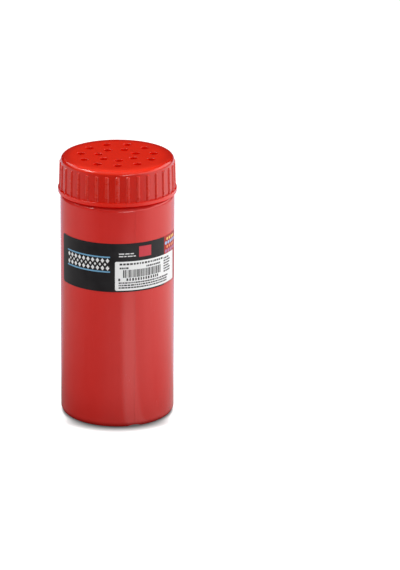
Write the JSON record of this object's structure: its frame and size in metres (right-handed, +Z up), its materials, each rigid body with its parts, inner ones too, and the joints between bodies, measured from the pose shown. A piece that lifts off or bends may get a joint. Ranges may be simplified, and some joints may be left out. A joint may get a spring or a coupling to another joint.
{
  "type": "seasoning shaker bottle",
  "caption": "Tall round plastic seasoning bottle with a ribbed screw cap that is perforated for shaking, and a wrap-around label with a sticker on it.",
  "frame": {"origin": "middle of the foot, on the surface that the bottle stands on", "axes": "+Z up along the bottle's axis; -Y is the front, where the label is; +X is to the right as seen from the front"},
  "size_m": [0.078, 0.078, 0.177],
  "materials": {
    "bottle_plastic": "smooth blow-moulded polypropylene, half gloss",
    "cap_plastic": "glossy injection-moulded polypropylene",
    "seal_foam": "closed-cell polyethylene foam",
    "label_film": "printed self-adhesive film, satin",
    "sticker_paper": "coated white paper"
  },
  "bodies": {
    "bottle": {"bottle_body": "bottle_plastic", "wrap_label": "label_film", "white_sticker": "sticker_paper"},
    "seal": {"seal_ring": "seal_foam"},
    "cap": {"shaker_cap": "cap_plastic"}
  },
  "joints": [
    {"name": "cap_rise", "type": "slide", "parent": "bottle", "child": "seal", "axis": [0, 0, 1], "range_m": [0, 0.024]},
    {"name": "cap_turn", "type": "hinge", "parent": "seal", "child": "cap", "pos_m": [0, 0, 0.1652], "axis": [0, 0, 1], "range_deg": [0, 1440]}
  ],
  "couplings": [
    {"joint": "cap_rise", "follows": "cap_turn", "m_per_rad": 0.00095492}
  ]
}
